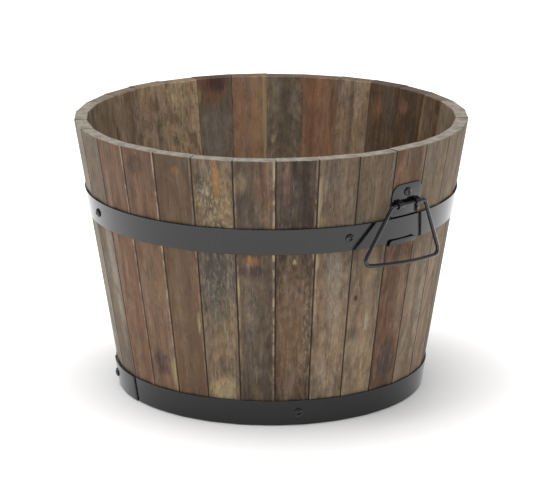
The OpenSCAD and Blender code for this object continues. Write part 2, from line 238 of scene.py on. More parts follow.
def streaks_and_blotches(r, given, broad, medium, patch, warm, late):
    """The board's own tone, with paler and darker parts laid over it one by one."""
    cool_body = r.tint(given["Body"], (0.95, 0.99, 1.03))
    warm_body = r.tint(given["Body"], (1.05, 1.0, 0.94))
    colour = r.mix(r.spread(warm, 0.36, 0.64), cool_body, warm_body)
    light = r.mix(0.28, r.tint(colour, PALER), hue("#8d8570"))
    dark = r.tint(colour, (0.50, 0.47, 0.45))
    tone = r.plus(r.times(broad, 0.72), r.times(medium, 0.28))
    for mask, share, over in (
        (r.spread(tone, 0.49, 0.66), "Streaks", light),
        (r.spread(tone, 0.50, 0.34), "Streaks", dark),
        (late, "Rings", dark),
        (r.spread(patch, 0.50, 0.36), "Blotch", dark),
        (r.spread(patch, 0.53, 0.70), "Blotch", light),
    ):
        colour = r.mix(r.times(mask, given[share]), colour, over)
    return colour


print("one growth ring, mm:", round(1000 / RINGS_PER_METRE, 1))


# %% The marks of weather and work: mottle, fibres, veins, scuffs and pores
def mottle_and_fibres(r, given, colour, cloud, fibre):
    for value, start, full, most, share, factors in (
        (cloud, 0.53, 0.36, 0.84, "Blotch", DARKER),
        (cloud, 0.52, 0.68, 0.64, "Blotch", PALER),
        (fibre, 0.48, 0.34, 0.7, "Streaks", DARKER),
        (fibre, 0.54, 0.68, 0.7, "Streaks", PALER),
    ):
        mask = r.times(r.spread(value, start, full, 0.0, most), given[share])
        colour = r.mix(mask, colour, r.tint(colour, factors))
    return colour


def fine_marks(r, given, colour, bent, seeded, patch, weather):
    """Dark veins, pale scuffs and open pores; the pores are returned too, for the relief."""
    vein = r.grain(bent, (150, 150, 7), 3.0, 0.6)
    thin = r.spread(r.maths("ABSOLUTE", r.minus(vein, 0.5)), 0.014, 0.003)
    thin = r.times(r.times(thin, r.spread(patch, 0.60, 0.44)), given["Flecks"])
    colour = r.mix(r.times(thin, 0.8), colour, r.tint(colour, (0.45, 0.42, 0.40)))
    scuff = r.grain(seeded, (300, 300, 42), 4.0, 0.7)
    scuffed = r.times(r.spread(scuff, 0.54, 0.63), r.spread(weather, 0.42, 0.6))
    colour = r.mix(r.times(scuffed, given["Wear"]), colour, hue("#9b9078"))
    pores = r.grain(bent, (700, 700, 120), 1.0)
    speck = r.times(r.spread(pores, 0.62, 0.72), given["Flecks"])
    speck = r.times(speck, r.spread(patch, 0.62, 0.45))
    return r.mix(speck, colour, r.tint(colour, (0.36, 0.33, 0.32))), speck


print("shades laid on the tone:", {"paler": PALER, "darker": DARKER})


# %% The bare wood as one node group
def board_group():
    r, given = group(
        "weathered_board",
        "Place:v Seed:f Body:c Streaks:f Blotch:f Rings:f Flecks:f Grey:f Wear:f Pith:v",
        "Colour:c Relief:f Shine:f",
    )
    seeded = r.vector("ADD", given["Place"], r.point(given["Seed"], given["Seed"], given["Seed"]))
    sway = r.swing(r.grain(seeded, (16, 16, 6)), 0.014)
    bent = r.vector("ADD", seeded, r.point(sway, sway, 0.0))
    broad = r.grain(bent, (80, 80, 4.5))
    medium = r.grain(bent, (260, 260, 14), 3.0, 0.6)
    fine = r.grain(bent, (1100, 1100, 60), 2.0, 0.6)
    fibre = r.grain(bent, (460, 460, 32), 3.0, 0.62)
    patch = r.grain(seeded, (62, 62, 26), 4.0, 0.6, 1.0)
    mottle = r.grain(seeded, (150, 150, 95), 5.0, 0.66, 0.8)
    warm = r.grain(seeded, (34, 34, 11), 3.0, 0.55)
    weather = r.grain(seeded, (40, 40, 16), 4.0, 0.6)

    late = growth_rings(r, given, sway, medium)
    colour = streaks_and_blotches(r, given, broad, medium, patch, warm, late)
    skin = r.mix(0.5, r.mix(0.6, colour, hue("#777068"), "SATURATION"), hue("#6b625b"))
    colour = r.mix(r.times(r.spread(weather, 0.46, 0.68), given["Grey"]), colour, skin)
    cloud = r.plus(r.times(mottle, 0.84), r.times(fine, 0.16))
    colour = mottle_and_fibres(r, given, colour, cloud, fibre)
    colour, speck = fine_marks(r, given, colour, bent, seeded, patch, weather)

    relief = r.plus(r.times(fine, 0.5), r.times(medium, 0.35))
    relief = r.minus(relief, r.times(late, 0.12))
    relief = r.minus(relief, r.times(speck, 0.5))
    shine = r.spread(mottle, 0.3, 0.7, 0.62, 0.78)
    r.node("NodeGroupOutput", {"Colour": colour, "Relief": relief, "Shine": shine})
    return r.tree


BOARD = board_group()
print("bare wood, nodes:", len(BOARD.nodes))

# %% [markdown]
# ## Stains and knots
#
# Old boards carry marks that sit in one spot: a run of rust, a patch of lichen, a knot with its
# dark heart. Each is a soft oval on the board with an edge broken up by noise, so one group
# serves for every stain and one for every knot. A knot also pushes the grain aside, so its group
# returns the shifted place that the bare wood then reads.


# %% One soft stain, and one knot with its rings
def from_middle(r, given):
    """The place across and along the board, counted in half sizes of the mark."""
    away = r.vector("DIVIDE", r.vector("SUBTRACT", given["Board"], given["Middle"]), given["Half"])
    return r.parts(away)[1:]


def stain_group():
    r, given = group("stain", "Colour:c Board:v Middle:v Half:v Stain:c Share:f Speckle:f", "Colour:c")
    y, z = from_middle(r, given)
    rough = r.grain(given["Board"], (0, 200, 70), 5.0, 0.65)
    ragged = r.plus(r.reach(y, z), r.swing(rough, 1.9))
    mask = r.times(r.spread(ragged, 1.25, 0.45), given["Share"])
    dots = r.spread(r.grain(given["Board"], (0, 340, 150), 3.0, 0.65), 0.50, 0.60)
    dots = r.plus(r.times(dots, given["Speckle"]), r.minus(1.0, given["Speckle"]))
    stained = r.mix(r.times(mask, dots), given["Colour"], given["Stain"])
    r.node("NodeGroupOutput", {"Colour": stained})
    return r.tree


def knot_group():
    r, given = group("knot", "Colour:c Board:v Middle:v Half:v Stain:c Share:f", "Colour:c Board:v")
    y, z = from_middle(r, given)
    rough = r.grain(given["Board"], (0, 150, 90), 3.0, 0.6)
    reach = r.plus(r.reach(y, z), r.swing(rough, 0.5))
    heart = r.spread(reach, 0.70, 0.25)
    rings = r.times(r.plus(r.maths("SINE", r.times(reach, 15.0)), 1.0), 0.5)
    rings = r.times(r.times(rings, r.spread(reach, 1.7, 0.5)), 0.5)
    mask = r.times(r.maths("MAXIMUM", heart, rings), given["Share"])
    push = r.times(r.spread(reach, 2.6, 0.4), -0.6)
    bent = r.vector("ADD", given["Board"], r.point(0.0, r.times(y, r.times(push, 0.006)), 0.0))
    knotted = r.mix(mask, given["Colour"], given["Stain"])
    r.node("NodeGroupOutput", {"Colour": knotted, "Board": bent})
    return r.tree


STAIN = stain_group()
KNOT = knot_group()
print("nodes of a stain and of a knot:", len(STAIN.nodes), len(KNOT.nodes))

# %% [markdown]
# ## Choosing the tones
#
# Six tones are set once and named like material slots of the record. The bare wood mixes the
# lighter and darker streaks from each. What sets one stave apart from its neighbour is then its
# tone, its own shift in lightness, and the stains, knots and pale edges listed for it. The stains
# have names too, so that the list below reads like notes made beside the real tub.

# %% Tones of the boards, and the stains found on them
TONES = {
    "pale": "#83735f", "taupe": "#766654", "grey": "#65594c", "brown": "#6f5b48",
    "russet": "#7a604d", "walnut": "#584a3d",
}
STAINS = {
    "orange": "#9f6f3c", "rust": "#865a42", "straw": "#9c8b66", "bone": "#b0a99c", "ash": "#90877a",
    "tan": "#7b6249", "plum": "#42322f", "slate": "#443c37", "soot": "#302822", "moss": "#59513f",
}


def shade(colour, lift, warmth=0.0):
    red, green, blue = (c * lift for c in hue(colour)[:3])
    return [red * (1 + warmth), green, blue * (1 - warmth), 1.0]


print("tones and stains:", len(TONES), len(STAINS))

# %% [markdown]
# ## One board's finish
#
# A stave is a flat board, so its pattern has to lie in the board and not run round the tub. The
# shader's place is turned back by the stave's direction and measured from its tapered face: then
# x is depth, y goes across and z goes up, for every stave alike. On top of the bare wood come
# the stave's own marks, its pale edges (worn, with a painted highlight), a painted shade along the
# joint, and the sawn end at the rim.

# %% The place in a board, its bare wood and its marks
SEED_STEP = 3.7
USUAL_LOOKS = dict(
    streaks=0.6, blotch=0.5, rings=0.15, flecks=0.5, grey=0.3, wear=0.15, pith=(-0.05, 0.004, 0.12)
)


def place_on_board(r, turn):
    """The shader's place in one stave: x out of its face, y across it, z up."""
    here = r.node("ShaderNodeMapping", {"Vector": r.place(), "Rotation": (0, 0, -turn)}).outputs[0]
    x, y, z = r.parts(here)
    depth = r.minus(x, r.plus(r.times(z, FACE_TAPER), FACE_FOOT))
    return r.point(depth, y, z), y, z


def bare_wood(r, board, body, seed, looks):
    settings = {"Place": board, "Seed": seed * SEED_STEP, "Body": body}
    for word, value in {**USUAL_LOOKS, **looks}.items():
        settings[word.title()] = value
    return r.node("ShaderNodeGroup", settings, node_tree=BOARD)


def mark_node(r, colour, board, mark, tree):
    """A stain or a knot: its name, place across and up, half width and half height, and strength."""
    name, y, z, half_y, half_z, share = mark[:6]
    settings = {
        "Colour": colour, "Board": board, "Middle": (0, y / 1000, z / 1000),
        "Half": (1, half_y / 1000, half_z / 1000), "Stain": hue(STAINS[name]), "Share": share,
    }
    if tree == STAIN:
        settings["Speckle"] = mark[6] if len(mark) > 6 else 0.0
    return r.node("ShaderNodeGroup", settings, node_tree=tree).outputs


print("usual looks of the wood:", USUAL_LOOKS)

# %% Pale edges, worn and with a painted highlight, and painted shade at the joints
ARRIS_FAR, ARRIS_NEAR = 0.0046, 0.0016
JOINT_SHADE_FAR, JOINT_SHADE_NEAR = 0.0025, 0.0012


def worn_lit_and_shaded_edges(r, colour, board, y, z, left, right):
    """Pale along an arris, worn wood with a painted highlight; dark at the joint, a painted shade; where
    the darkening lies is returned for the rim.
    """
    half = r.times(r.plus(r.times(z, FACE_TAPER), FACE_FOOT), math.tan(HALF_STEP))
    ragged = r.grain(board, (60, 60, 22), 3.0)
    broken = r.grain(board, (40, 40, 34), 4.0, 0.65)
    for side, share in ((1.0, right), (-1.0, left)):
        edge = r.minus(r.minus(half, r.times(y, side)), r.swing(ragged, 0.006))
        worn_and_lit = r.times(r.spread(edge, ARRIS_FAR, ARRIS_NEAR), r.spread(broken, 0.42, 0.58, 0.1, 1.0))
        # Pale arris: worn fresh wood, and a painted highlight where the chamfer would catch the light.
        colour = r.mix(r.times(worn_and_lit, share), colour, hue("#a8937c"))
    # Painted shade along each joint: dark brown towards the stave's edge.
    to_joint = r.minus(half, r.maths("ABSOLUTE", y))
    darkening = r.spread(r.plus(to_joint, r.times(ragged, 0.0014)), JOINT_SHADE_FAR, JOINT_SHADE_NEAR)
    return r.mix(r.times(darkening, 0.85), colour, hue("#2b221b")), darkening


print("worn edge and joint dirt reach in, mm:", ARRIS_FAR * 1000, JOINT_SHADE_FAR * 1000)

# %% The sawn end at the rim
SAWN_FROM, SAWN_FULL = 0.0011, 0.0004


def sawn_end(r, colour, board, z, height, darkening, rim):
    """Grey end grain with chipped edges and fine cracks over the top of the board."""
    chips = r.grain(board, (130, 110, 60), 3.0, 0.6)
    sawn = r.spread(r.plus(z, r.swing(chips, 0.0016)), height - SAWN_FROM, height - SAWN_FULL)
    end = r.grain(board, (75, 60, 40), 4.0, 0.6)
    end_colour = r.mix(r.spread(end, 0.34, 0.64), hue("#6c645a"), hue("#8a8378"))
    # Where rim is low, on the back staves, the end takes a darkened copy of the board's colour: partly the
    # board's own colour, partly painted shade on the far rim.
    end_colour = r.mix(rim, r.tint(colour, (0.40, 0.37, 0.34)), end_colour)
    crack = r.grain(board, (420, 70, 60))
    end_colour = r.mix(r.spread(crack, 0.33, 0.27), end_colour, hue("#453b33"))
    # The painted shade of the joints carries on over the sawn end.
    end_colour = r.mix(r.times(darkening, 0.6), end_colour, hue("#3a3028"))
    return r.mix(sawn, colour, end_colour)


print("sawn colour starts below the top, mm:", SAWN_FROM * 1000)


# %% The whole finish of one stave
def new_material(name):
    material = bpy.data.materials.new(name)
    material.use_nodes = True
    material.node_tree.nodes.clear()
    return material, Recipe(material.node_tree)


def wood_surface(r, colour, wood):
    feeds = {"Height": wood.outputs["Relief"], "Strength": 0.5, "Distance": 0.0006}
    bump = r.node("ShaderNodeBump", feeds)
    r.surface({
        "Base Color": colour, "Roughness": wood.outputs["Shine"], "Normal": bump.outputs[0],
        "Specular IOR Level": 0.3,
    })


def stave_finish(name, turn, seed, tone, lift=1.0, warmth=0.0, foot=1.0, top=1.0, stains=(), over=(),
                 knots=(), left=0.0, right=0.0, rim=0.9, **looks):
    """Wood for the stave that stands at this turn round the tub, with its own marks in millimetres."""
    material, r = new_material("wood_" + name)
    board, y, z = place_on_board(r, turn)
    body = r.node("ShaderNodeRGB", {}).outputs[0]
    body.default_value = shade(TONES[tone], lift, warmth)
    for mark in stains:
        body = mark_node(r, body, board, mark, STAIN)["Colour"]
    grain = board
    for knot in knots:
        grain = mark_node(r, hue("#000000"), grain, knot, KNOT)["Board"]
    wood = bare_wood(r, grain, body, seed, looks)
    colour = wood.outputs["Colour"]
    for mark in over:
        colour = mark_node(r, colour, board, mark, STAIN)["Colour"]
    for knot in knots:
        colour = mark_node(r, colour, board, knot, KNOT)["Colour"]
    # Lighter or darker towards the foot and the top, by the stave's foot and top factors.
    height_factor = r.spread(z, 0.10, 0.28, foot, top)
    colour = r.mix(1.0, colour, r.point(height_factor, height_factor, height_factor), "MULTIPLY")
    colour, darkening = worn_lit_and_shaded_edges(r, colour, board, y, z, left, right)
    colour = sawn_end(r, colour, board, z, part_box(name)[1][2], darkening, rim)
    wood_surface(r, colour, wood)
    return material


def dress(node, material):
    """Puts one material on a carried-over node."""
    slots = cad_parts[node].data.materials
    slots.clear()
    slots.append(material)


print("materials before the staves:", len(bpy.data.materials))

# %% [markdown]
# ## Thirty different boards
#
# The list goes round the tub from the front handle, first by the right side of the picture. Each
# line names a tone, how much lighter or warmer the board is, how its foot and top differ, and
# its edges. Stains under the grain, stains over it and knots follow in millimetres: place to the
# right of the board's middle, seen from outside, height above the floor, half width, half height,
# strength, and for some the share of speckle.

# %% The staves
STAVE_LOOKS = [
    ("russet", dict(lift=0.5, warmth=0.22, foot=1.05, top=0.95, right=0.3,
        stains=[("plum", 2.8, 70, 15, 30, 0.75), ("plum", -7, 67, 11, 8, 0.5),
        ("rust", -16, 329, 7, 16, 0.3), ("soot", -5.4, 333, 2.4, 11, 0.7),
        ("tan", 14, 150, 6, 60, 0.5)])),
    ("pale", dict(lift=0.75, warmth=0.08, foot=1.25, top=0.8, left=0.1, right=0.25, wear=0.35,
        stains=[("ash", 14, 160, 4, 90, 0.4), ("tan", -8, 250, 8, 60, 0.4)])),
    ("taupe", dict(lift=1.05, warmth=0.08, foot=1.15, top=0.85, left=0.4,
        stains=[("ash", -21, 107, 3, 60, 0.6), ("straw", 6, 230, 6, 60, 0.3)],
        knots=[("soot", 4, 163, 3, 6, 0.7)])),
    ("grey", dict(lift=0.95, warmth=0.28, foot=0.95, top=0.95, stains=[("moss", 0, 200, 14, 60, 0.4)])),
    ("brown", dict(lift=1.05, left=0.3)),
    ("taupe", dict(right=0.3, stains=[("plum", -8, 130, 8, 30, 0.5)])),
    ("walnut", dict(lift=0.9, warmth=0.28, left=0.3, rim=0.35, stains=[("straw", 19, 318, 5, 34, 0.4),
        ("soot", -6, 330, 9, 16, 0.4)])),
    ("brown", dict(lift=0.4, warmth=0.24, rim=0.2, blotch=0.3, streaks=0.35,
        stains=[("rust", 9, 326, 12, 10, 0.35), ("soot", -12, 290, 8, 25, 0.4)])),
    ("walnut", dict(lift=0.7, warmth=0.24, rim=0.1, blotch=0.3, streaks=0.35,
        stains=[("rust", 8, 318, 8, 20, 0.35), ("slate", -14, 305, 9, 14, 0.4)])),
    ("grey", dict(lift=1.85, warmth=0.12, grey=0.5, rim=0.1, stains=[("moss", 2, 310, 4, 60, 0.6)],
        over=[("bone", -8, 320, 8, 24, 0.4, 0.9)])),
    ("russet", dict(lift=1.1, warmth=0.12, grey=0.1, rings=0.1, blotch=0.3, streaks=0.4, rim=0.1,
        stains=[("rust", 4, 310, 12, 70, 0.6), ("plum", -17, 320, 3, 50, 0.4)])),
    ("grey", dict(lift=1.35, warmth=0.04, rings=0.4, pith=(-0.03, 0.005, 0.2), rim=0.1, right=0.2,
        stains=[("ash", 8, 335, 8, 12, 0.4), ("straw", 15, 266, 4, 6, 0.7)])),
    ("russet", dict(lift=1.45, warmth=-0.02, grey=0.1, blotch=0.25, streaks=0.35, rim=0.05,
        stains=[("rust", 14, 310, 10, 60, 0.3), ("orange", -8, 288, 6, 60, 0.35)],
        over=[("straw", -19.6, 305, 2.6, 110, 0.85), ("soot", 24.4, 310, 1.3, 90, 0.9)])),
    ("walnut", dict(lift=1.4, warmth=-0.02, blotch=0.2, streaks=0.3, rim=0.05,
        stains=[("ash", 0, 272, 26, 46, 0.45), ("rust", 2, 344, 24, 34, 0.7)],
        over=[("plum", 0, 350, 18, 24, 0.7), ("soot", -3, 346, 12, 15, 0.4),
        ("straw", 22, 328, 3, 12, 0.5)])),
    ("pale", dict(lift=1.45, warmth=0.06, streaks=0.7, blotch=0.8, wear=0.6, rim=0.15,
        stains=[("rust", -15, 339, 4, 6, 0.7), ("straw", 4, 300, 6, 50, 0.4)])),
    ("taupe", dict(lift=1.75, warmth=0.04, streaks=0.5, blotch=0.6, wear=0.4, rim=0.2,
        stains=[("straw", 17, 343, 5, 5, 0.7), ("moss", -6, 300, 4, 50, 0.5)])),
    ("grey", dict(lift=1.85, warmth=0.04, rim=0.3, stains=[("tan", 0, 310, 12, 60, 0.5)],
        knots=[("moss", -19, 287, 7, 9, 0.8)])),
    ("brown", dict(lift=1.3, warmth=-0.04, left=0.2, rim=0.5, stains=[("soot", -18, 300, 6, 10, 0.5)])),
    ("taupe", dict(right=0.3, knots=[("soot", -6, 210, 4, 8, 0.7)])),
    ("walnut", dict(lift=1.1, stains=[("plum", 6, 160, 10, 50, 0.5)])),
    ("pale", dict(lift=1.3, warmth=-0.12, foot=1.05, top=0.85, grey=0.7, left=0.2)),
    ("grey", dict(lift=1.2, warmth=0.08, foot=1.05, top=0.9, grey=0.6,
        stains=[("ash", 8, 170, 12, 90, 0.6)])),
    ("russet", dict(lift=0.75, warmth=0.12, foot=1.15, top=0.85, left=0.1, right=0.7, grey=0.15,
        blotch=0.35, stains=[("rust", 11, 330, 9, 27, 0.35), ("rust", 14, 150, 7, 90, 0.35),
        ("ash", -16, 230, 5, 90, 0.35)])),
    ("russet", dict(lift=0.85, warmth=0.08, foot=1.15, top=0.8, right=0.8, grey=0.2, blotch=0.35,
        streaks=0.45, stains=[("plum", -3, 69, 13, 20, 0.75), ("straw", 19, 62, 7, 28, 0.7),
        ("plum", -6, 330, 15, 15, 0.5), ("tan", 0, 180, 16, 50, 0.4)])),
    ("brown", dict(lift=0.7, warmth=0.12, foot=1.15, top=0.85, right=0.3, rings=0.05, grey=0.2,
        blotch=0.25, streaks=0.35, flecks=0.2, stains=[("orange", 3, 330, 7, 6, 0.35),
        ("straw", 17, 132, 2.4, 17, 0.7), ("rust", 19, 190, 4, 30, 0.4)])),
    ("pale", dict(lift=0.7, warmth=0.08, foot=1.2, top=0.95, left=0.1, rings=0.35, flecks=0.6,
        wear=0.35, pith=(-0.02, 0.005, 0.22), stains=[("slate", 0, 195, 30, 58, 0.95),
        ("moss", 3, 150, 14, 40, 0.5), ("slate", -17, 318, 6, 14, 0.9), ("soot", -7, 290, 7, 14, 0.55),
        ("orange", 5, 330, 3.6, 24, 0.7), ("tan", 16, 300, 6, 40, 0.4), ("soot", 4, 78, 8, 14, 0.35),
        ("straw", 0, 46, 20, 16, 0.6)], over=[("straw", 2, 290, 26, 50, 0.7, 0.9),
        ("orange", 5, 320, 6, 24, 0.4), ("bone", -11, 309, 7, 6, 0.55, 0.7),
        ("ash", -2, 180, 13, 34, 0.3, 0.95)])),
    ("grey", dict(lift=0.7, warmth=0.12, foot=1.05, left=0.4, right=0.95, rings=0.2, flecks=0.6,
        stains=[("slate", -13, 290, 12, 24, 0.65), ("straw", -17, 320, 8, 15, 0.35),
        ("rust", 12, 305, 11, 45, 0.4), ("rust", -4, 219, 14, 8, 0.5), ("orange", -7, 220, 9, 7, 0.45),
        ("plum", -4, 206, 18, 7, 0.85), ("plum", 14, 122, 8, 24, 0.6)],
        over=[("ash", -6, 150, 10, 45, 0.3, 0.7), ("straw", -22, 182, 2.4, 17, 0.8)])),
    ("walnut", dict(lift=0.35, warmth=0.22, right=0.4, rings=0.3, pith=(-0.025, -0.006, 0.25),
        stains=[("tan", -2, 120, 32, 112, 0.65), ("plum", 7, 306, 14, 38, 0.5),
        ("rust", -12, 325, 6, 40, 0.4)], over=[("straw", -1, 219, 2.6, 4, 0.7),
        ("ash", 15, 128, 5, 66, 0.5, 0.85)], knots=[("plum", 7, 198, 11, 6, 0.5)])),
    ("taupe", dict(lift=0.95, warmth=0.04, foot=1.25, top=0.75, left=0.5, blotch=0.6, wear=0.4,
        stains=[("soot", -21, 113, 2.6, 30, 0.75), ("ash", -3, 331, 6, 20, 0.4),
        ("ash", 4, 190, 12, 60, 0.3), ("tan", 14, 320, 8, 30, 0.3)],
        over=[("straw", -22, 300, 2.6, 36, 0.7), ("straw", -21, 216, 3, 12, 0.7)])),
    ("pale", dict(lift=0.8, warmth=0.08, foot=1.2, top=0.65, right=0.25, wear=0.35,
        stains=[("ash", 6, 131, 3, 12, 0.7), ("slate", -10, 115, 9, 11, 0.4),
        ("rust", 8, 306, 2.4, 34, 0.6), ("tan", -10, 300, 8, 40, 0.5)],
        knots=[("soot", -12.7, 164, 5, 9, 1.0)])),
]
for i, (tone, extras) in enumerate(STAVE_LOOKS):
    name = f"stave_{i + 1:02d}"
    dress(name, stave_finish(name, i * 2 * HALF_STEP, i + 1, tone, **extras))
print("staves dressed:", len(STAVE_LOOKS))

# %% [markdown]
# ## The boards of the base
#
# Nobody planes the base of a planter: its boards are plain sawn wood, a little paler than the
# staves, and darker along the joints, at the foot of the staves and round the drain holes. Here
# the grain lies flat, so the same bare wood is fed with its axes exchanged.

# %% Finish of the base boards and battens
BOARD_WIDTH = 0.0732
DRAINS = [(0, 0), (-0.110, -1), (0.110, -1), (-0.110, 1), (0.110, 1)]
BASE_LIFTS = (0.95, 1.1, 0.9, 1.05, 0.98)
BATTEN_LIFT = 0.9


def darkened_base_places(r, x, y, off):
    """Where the base is dark: at its joints, at the foot of the staves and round the drains."""
    within = r.maths("FRACT", r.plus(r.maths("DIVIDE", y, BOARD_WIDTH), 0.5))
    across = r.maths("ABSOLUTE", r.minus(within, 0.5))
    from_joint = r.times(r.minus(0.5, across), BOARD_WIDTH)
    darkening = r.spread(r.plus(from_joint, off), 0.009, 0.0)
    darkening = r.maths("MAXIMUM", darkening, r.spread(r.plus(r.reach(x, y), off), 0.165, 0.182))
    for middle, row in DRAINS:
        here = r.vector("SUBTRACT", r.point(x, y, 0.0), (middle, row * BOARD_WIDTH, 0))
        reach = r.node("ShaderNodeVectorMath", {0: here}, operation="LENGTH").outputs["Value"]
        darkening = r.maths("MAXIMUM", darkening, r.spread(r.plus(reach, off), 0.017, 0.006))
    return darkening


def base_finish(name, seed, lift, along_x):
    material, r = new_material("wood_" + name)
    place = r.place()
    x, y, z = r.parts(place)
    board = r.point(z, y, x) if along_x else r.point(z, x, y)
    body = r.node("ShaderNodeRGB", {}).outputs[0]
    body.default_value = shade("#7f6a52", lift)
    looks = dict(streaks=0.8, rings=0.3, grey=0.2, wear=0.1, pith=(-0.02, 0.01 * (seed % 3 - 1), 0.3))
    wood = bare_wood(r, board, body, seed, looks)
    colour = wood.outputs["Colour"]
    if along_x:
        off = r.swing(r.grain(place, (40, 90, 90), 4.0, 0.6), 0.02)
        # Darker along the board joints, next to the staves and round the drains.
        colour = r.mix(r.times(darkened_base_places(r, x, y, off), 0.7), colour, hue("#3a2f26"))
    wood_surface(r, colour, wood)
    return material


for j, lift in enumerate(BASE_LIFTS, 1):
    dress(f"base_board_{j}", base_finish(f"base_board_{j}", 30 + j, lift, True))
for seed, name in enumerate(("front_batten", "rear_batten"), 50):
    dress(name, base_finish(name, seed, BATTEN_LIFT, False))
print("base boards dressed:", len(BASE_LIFTS), "and two battens")

# %% [markdown]
# ## Black paint
#
# The metal is dipped or sprayed in thick gloss enamel. Seen from the front it looks dark grey
# rather than black, because it mirrors the pale floor, and it goes almost white towards the
# sides, where the floor is mirrored at a shallow angle. So the colour itself is nearly black, the
# surface is smooth with the faint waves of a paint film, and the film's index does the rest.


# %% Finish of the painted metal
def paint_finish(name, colour, roughness):
    material, r = new_material(name)
    place = r.place()
    peel = r.noise(place, 160.0)
    cloud = r.noise(place, 30.0, 4.0, 0.6)
    dust = r.noise(place, 420.0, 3.0, 0.6)
    bump = r.node("ShaderNodeBump", {"Height": peel, "Strength": 0.08, "Distance": 0.0004})
    dusty = r.times(r.spread(dust, 0.55, 0.75), r.spread(cloud, 0.45, 0.65))
    r.surface({
        "Base Color": r.mix(r.times(dusty, 0.35), hue(colour), hue("#4a4845")),
        "Roughness": r.spread(cloud, 0.3, 0.7, roughness - 0.02, roughness + 0.05),
        "Normal": bump.outputs[0], "IOR": 1.52,
    })
    return material


paint = paint_finish("black_paint", "#101012", 0.12)
wire_paint = paint_finish("black_wire", "#121213", 0.10)
screw_paint = paint_finish("black_screws", "#151516", 0.16)
dress("batten_screws", screw_paint)
print("paints made:", [m.name for m in (paint, wire_paint, screw_paint)])

# %% [markdown]
# ## Modelling helpers
#
# The metalwork is modelled the way it would be by hand: a primitive is added, some of its
# vertices, edges or faces are picked, and an operator works on what is picked. In a script the
# picking is a test on each element's place, so a reader can see what every step works on.

# %% Helpers: start a piece and pick its elements
TINY = 1e-6


def fresh():
    """Leaves edit mode and selects nothing, so that the next operator meets only its own piece."""
    if bpy.context.object and bpy.context.object.mode == "EDIT":
        bpy.ops.object.mode_set(mode="OBJECT")
    bpy.ops.object.select_all(action="DESELECT")


def open_piece(name):
    """Names the primitive just added and opens it for editing."""
    piece = bpy.context.object
    piece.name = name
    bpy.ops.object.transform_apply(location=True, rotation=True, scale=True)
    bpy.ops.object.mode_set(mode="EDIT")
    return piece


def pick(kind, test):
    """Selects only the vertices, edges or faces whose middle passes the test; counts them."""
    bpy.ops.mesh.select_mode(type={"verts": "VERT", "edges": "EDGE", "faces": "FACE"}[kind])
    bpy.ops.mesh.select_all(action="DESELECT")
    mesh = bmesh.from_edit_mesh(bpy.context.object.data)
    hits = 0
    for item in getattr(mesh, kind):
        corners = [item.co] if kind == "verts" else [v.co for v in item.verts]
        if test(sum(corners, Vector()) / len(corners)):
            item.select_set(True)
            hits += 1
    mesh.select_flush(True)
    bmesh.update_edit_mesh(bpy.context.object.data)
    return hits


print("selected after the frame is loaded:", len(bpy.context.selected_objects))
fresh()
print("selected after fresh():", len(bpy.context.selected_objects))


# %% Helpers: spin, scale and finish a piece
def sweep(steps, turn, middle=(0, 0, 0), axis=(0, 0, 1)):
    """Spins what is picked, right-handed round the axis; the operator itself counts the other way."""
    bpy.ops.mesh.spin(steps=steps, angle=-turn, center=middle, axis=axis)


def stretch(factors, middle=(0, 0, 0)):
    bpy.ops.transform.resize(value=factors, center_override=middle)


def face_outwards():
    """Merges doubles and turns the faces outwards."""
    bpy.ops.mesh.select_all(action="SELECT")
    bpy.ops.mesh.remove_doubles(threshold=TINY)
    bpy.ops.mesh.normals_make_consistent(inside=False)


def close_piece(smooth_angle=35):
    """Cleans the mesh, leaves edit mode and shades smooth across the blunt bends."""
    bpy.ops.mesh.select_mode(type="VERT")
    face_outwards()
    bpy.ops.object.mode_set(mode="OBJECT")
    bpy.ops.object.shade_smooth_by_angle(angle=math.radians(smooth_angle))


def hold_only(piece):
    fresh()
    piece.select_set(True)
    bpy.context.view_layer.objects.active = piece


def finish_with(piece, kind, **settings):
    """Adds a modifier and applies it at once."""
    hold_only(piece)
    made = piece.modifiers.new(kind.lower(), kind)
    for key, value in settings.items():
        setattr(made, key, value)
    bpy.ops.object.modifier_apply(modifier=made.name)


def round_edges(piece, width, sharper_than):
    finish_with(piece, "BEVEL", width=width, segments=2, limit_method="ANGLE",
                angle_limit=math.radians(sharper_than))


def triangles(piece):
    return sum(len(face.vertices) - 2 for face in piece.data.polygons)


def stands_for(piece, node, body, material):
    """The piece takes the place of a plain node, on its body, with its finish."""
    piece.data.materials.clear()
    piece.data.materials.append(material)
    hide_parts(node)
    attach(piece, body)
    low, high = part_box(node)
    box = [v.co for v in piece.data.vertices]
    grown = max(max(low[k] - min(c[k] for c in box), max(c[k] for c in box) - high[k]) for k in range(3))
    print(piece.name, "triangles", triangles(piece), "past the node's box, mm", round(grown * 1000, 2))


print("distance within which two points count as one, mm:", TINY * 1000)

# %% [markdown]
# ## The hoops
#
# A hoop is a flat steel strip bent round the tub. Its end steps out over its own start and the
# two are screwed through together. A ring made from a cylinder would have no lap, so the strip's
# small cross-section is drawn as one face and spun round the tub's axis: once nearly all the way
# round, then a short spin that is pushed out by one thickness, then the lap.

# %% Hoop sizes; each hoop has its foot's height, its first screw's direction and its lap's screw
MIDDLE_HOOP = 0.229
LOWER_HOOP = 0.001
HOOP_WIDTH = 0.033
HOOP_THICK = 0.0015
HOOP_CLEAR = 0.0001
CORNER_TILT = math.atan(CORNER_TAPER)
HOOP_SPAN = HOOP_THICK / math.cos(CORNER_TILT)
END_PLAY = 0.0003
STEPS_ROUND = 176
STEPS_LAP = 11
LAP_LENGTH = 0.090
LAP_SCREW = 0.017
TAIL_ROUND = 0.0011
HOOP_ARRIS = 0.00035
SCREWS_ROUND = 4
HOOPS = {"middle_hoop": (MIDDLE_HOOP, -19.5, 1), "lower_hoop": (LOWER_HOOP, -33.5, 3)}


